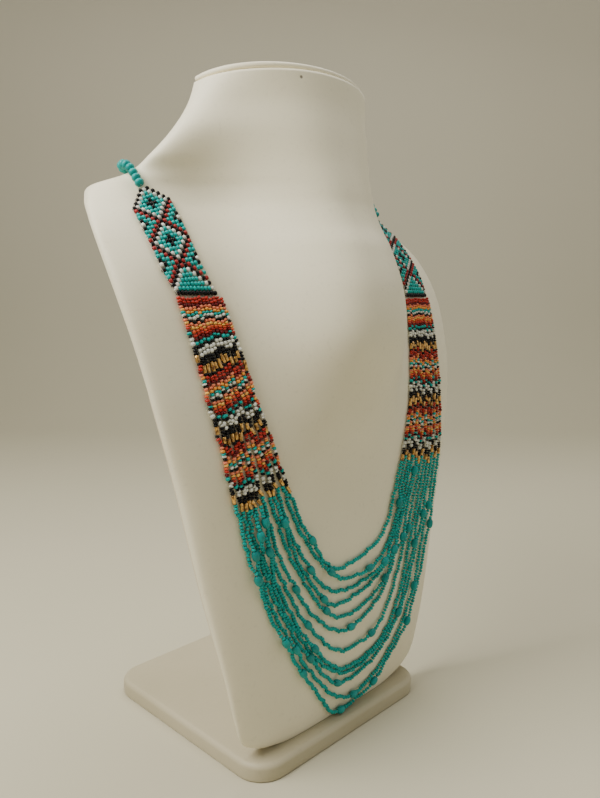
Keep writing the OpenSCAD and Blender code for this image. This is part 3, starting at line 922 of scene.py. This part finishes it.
# smooth curve through the points, four steps to each, with limited slopes
def neckCourse():
    p = neck["points"]
    n = len(p) - 1
    number = np.arange(n)
    a, b = p[np.maximum(number - 1, 0)], p[number]
    c, d = p[number + 1], p[np.minimum(number + 2, n)]
    gap = np.linalg.norm(c - b, axis=1)
    before = gap / np.maximum(np.linalg.norm(b - a, axis=1), gap)
    after = gap / np.maximum(np.linalg.norm(d - c, axis=1), gap)
    m0, m1 = (c - a) / 2 * before[:, None], (d - b) / 2 * after[:, None]
    t = np.array([0, 0.25, 0.5, 0.75])[None, :, None]
    line = (b[:, None] * (2 * t**3 - 3 * t**2 + 1) + m0[:, None] * (t**3 - 2 * t**2 + t)
            + c[:, None] * (3 * t**2 - 2 * t**3) + m1[:, None] * (t**3 - t**2))
    line = np.concatenate([line.reshape(-1, 3), p[-1:]])
    run = np.concatenate([[0], np.cumsum(np.linalg.norm(np.diff(line, axis=0), axis=1))])
    return line, run


neckLine, neckRun = neckCourse()
neckCount = math.floor((neckRun[-1] - 0.4) / (neck["beadLong"] + neck["gap"]))
neckMarks = np.linspace(0.1, neckRun[-1] - 0.1, neckCount + 1)
knots = np.column_stack([np.interp(neckMarks, neckRun, neckLine[:, axis]) for axis in range(3)])
roundAt, roundWay = (knots[1:] + knots[:-1]) / 2, unit(knots[1:] - knots[:-1])
roundPoints, roundQuads, _ = beadField(
    roundAt, roundWay, np.tile([0, -0.3, 1.0], (neckCount, 1)),
    neck["beadWide"] / 2 * dice.uniform(0.94, 1.0, neckCount),
    neck["shownLong"] / 2 * dice.uniform(0.97, 1.03, neckCount), roundShape(0.2, 13), 20)
makePiece("neckStones", roundPoints, [roundQuads], [stone], ["neck_beads"])
cordPoints, cordFaces = tubeField(knots, np.tile([0, -0.3, 1.0], (len(knots), 1)), neck["thread"] / 2, 8)
makePiece("neckCord", cordPoints, cordFaces, [threadWhite], ["neck_thread"])
print("neck string made")

# floor, backdrop and light
room = {
    # one pale paper, painted darker on the floor and lighter on the wall
    "paperFloorShaded": paint(190, 184, 160),
    "paperWallLit": paint(226, 220, 202),
    "worldColour": (0.60, 0.58, 0.50),
    "worldStrength": 0.62,
    "near": -3.0,           # along the camera's view, from the bust
    "bend": 0.9,
    "radius": 0.7,
    "wallTop": 3.2,
    "halfWide": 3.5,
}
paperFinish = Finish("paleBackdrop", {"Roughness": 0.8, "Specular IOR Level": 0.15})
paperWhere = paperFinish.place()
paperHeight = paperFinish.node("ShaderNodeSeparateXYZ", {}, {0: paperWhere}, "Z")
# painted light: the paper darker low down and lighter up the wall, blended by height, with faint random
# mottling
paperLightAndMottle = paperFinish.remap(paperHeight, 0.0, 1.0) * 0.85 + paperFinish.noise(paperWhere, 2.5, 3) * 0.15
paperFinish.feed({"Base Color": paperFinish.blend(paperLightAndMottle, room["paperFloorShaded"], room["paperWallLit"])})
# a sheet that runs along the floor and bends up into a wall
sweep = np.radians(np.linspace(0, 90, 25))
sheetReach = np.concatenate([[room["near"]], room["bend"] + room["radius"] * np.sin(sweep),
                             [room["bend"] + room["radius"]]])
sheetHeight = np.concatenate([[0], room["radius"] * (1 - np.cos(sweep)), [room["wallTop"]]])
viewTurn = math.radians(-cameraSet["turn"])
ahead = np.array([math.sin(viewTurn), math.cos(viewTurn), 0])
aside = np.array([ahead[1], -ahead[0], 0])
sheet = np.stack([sheetReach[:, None] * ahead + side * room["halfWide"] * aside
                  + sheetHeight[:, None] * np.array([0, 0, 1]) for side in (-1, 1)], 1)
sheetMesh = bpy.data.meshes.new("backdrop")
step = 2 * np.arange(len(sheet) - 1)
sheetMesh.from_pydata(sheet.reshape(-1, 3).tolist(), [],
                      np.stack([step, step + 1, step + 3, step + 2], -1).tolist())
sheetMesh.polygons.foreach_set("use_smooth", np.ones(len(sheetMesh.polygons), bool))
sheetMesh.materials.append(paperFinish.material)
backdrop = bpy.data.objects.new("backdrop", sheetMesh)
bpy.context.scene.collection.objects.link(backdrop)

world = bpy.data.worlds.new("softRoom")
bpy.context.scene.world = world
world.use_nodes = True
world.node_tree.nodes["Background"].inputs["Color"].default_value = (*room["worldColour"], 1)
world.node_tree.nodes["Background"].inputs["Strength"].default_value = room["worldStrength"]


def softBox(name, place, aim, size, power, colour):
    light = bpy.data.lights.new(name, "AREA")
    light.size = size
    light.energy = power
    light.color = colour
    lamp = bpy.data.objects.new(name, light)
    lamp.location = place
    lamp.rotation_euler = (Vector(aim) - Vector(place)).to_track_quat("-Z", "Y").to_euler()
    bpy.context.scene.collection.objects.link(lamp)


softBox("leftBox", place=(-0.57, 0.1, 0.8), aim=(0, 0, 0.36), size=0.45,
        power=11, colour=(1.0, 0.975, 0.92))
softBox("topBox", place=(0.35, 0.1, 1.4), aim=(0, 0, 0.25), size=0.9,
        power=10, colour=(1.0, 0.98, 0.95))
softBox("rightBox", place=(0.9, -1.0, 0.7), aim=(0, 0, 0.2), size=1.2,
        power=3, colour=(0.95, 0.98, 1.0))
